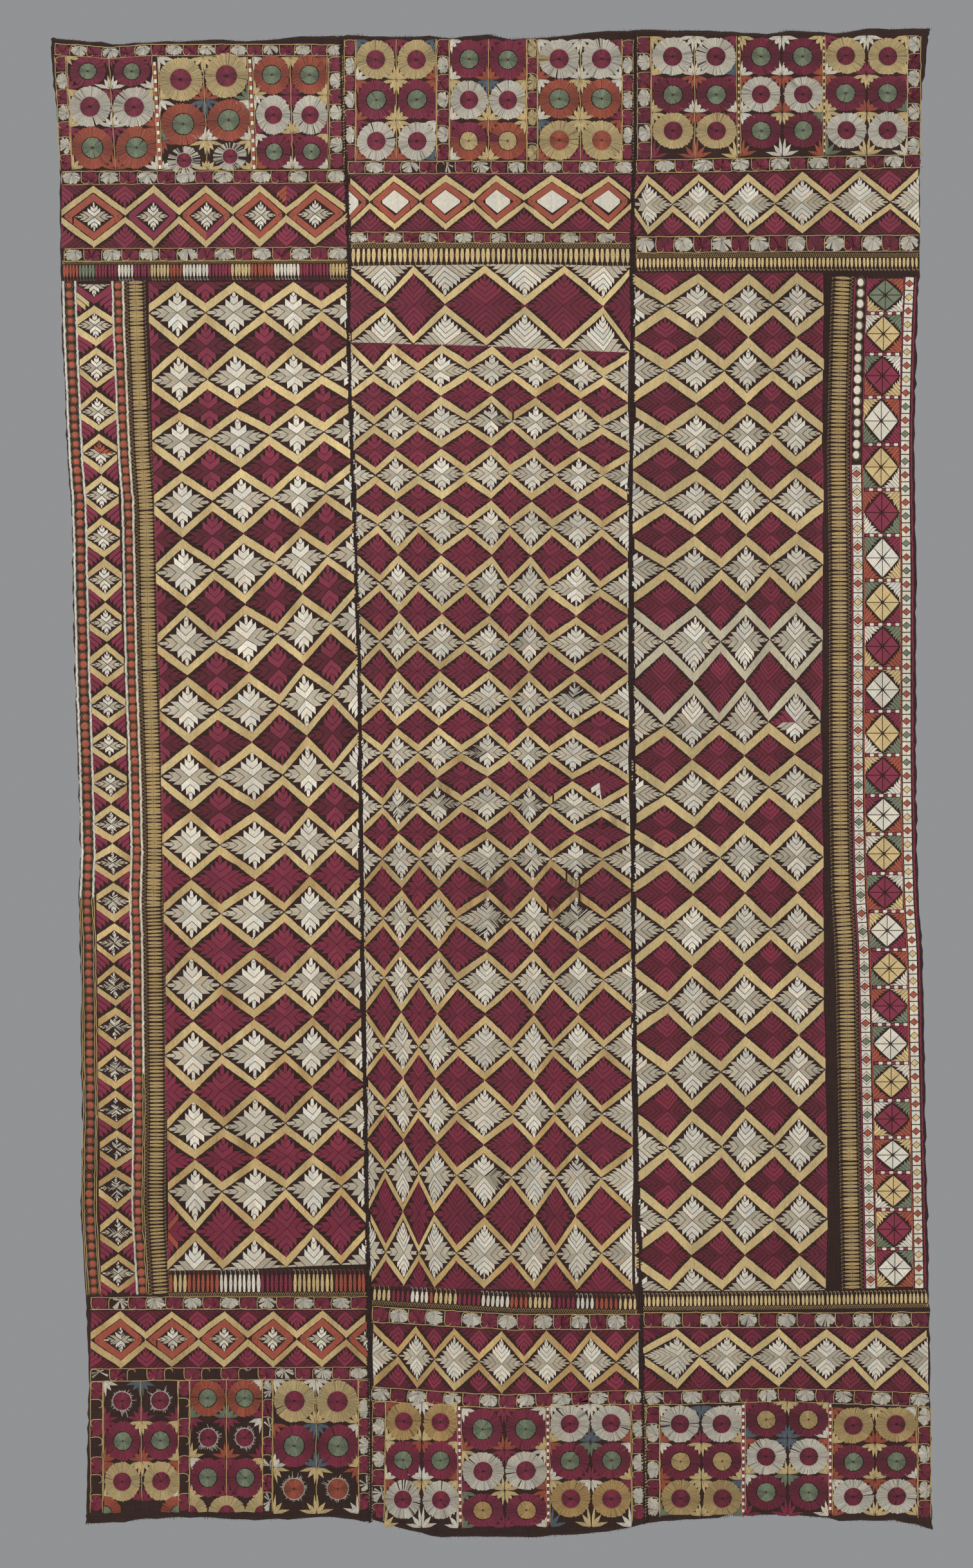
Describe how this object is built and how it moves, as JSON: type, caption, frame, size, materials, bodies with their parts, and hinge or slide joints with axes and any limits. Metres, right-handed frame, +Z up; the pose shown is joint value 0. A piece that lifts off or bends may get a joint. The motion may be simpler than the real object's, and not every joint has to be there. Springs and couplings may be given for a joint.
{
  "type": "phulkari wall hanging",
  "caption": "Large hanging of dark hand-loom cotton in joined lengths, covered in silk floss darning of leaf stars and zigzags, with deep worked ends and narrow side borders.",
  "frame": {"origin": "middle of the top edge, in the thickness of the cloth", "axes": "+Z up the hanging cloth, +X to the viewer's right, the worked face towards -Y"},
  "size_m": [1.3695, 0.0166, 2.3457],
  "materials": {
    "khaddar": "matte hand-loom cotton, dyed dark brown, a little faded and frayed at its edges",
    "silk_floss": "untwisted silk floss laid in long darning stitches, soft sheen along the thread",
    "cotton_thread": "matte dark sewing thread of the joining seams and hems"
  },
  "bodies": {
    "root": {"panel_left": "khaddar", "panel_centre": "khaddar", "panel_right": "khaddar"}
  },
  "joints": []
}
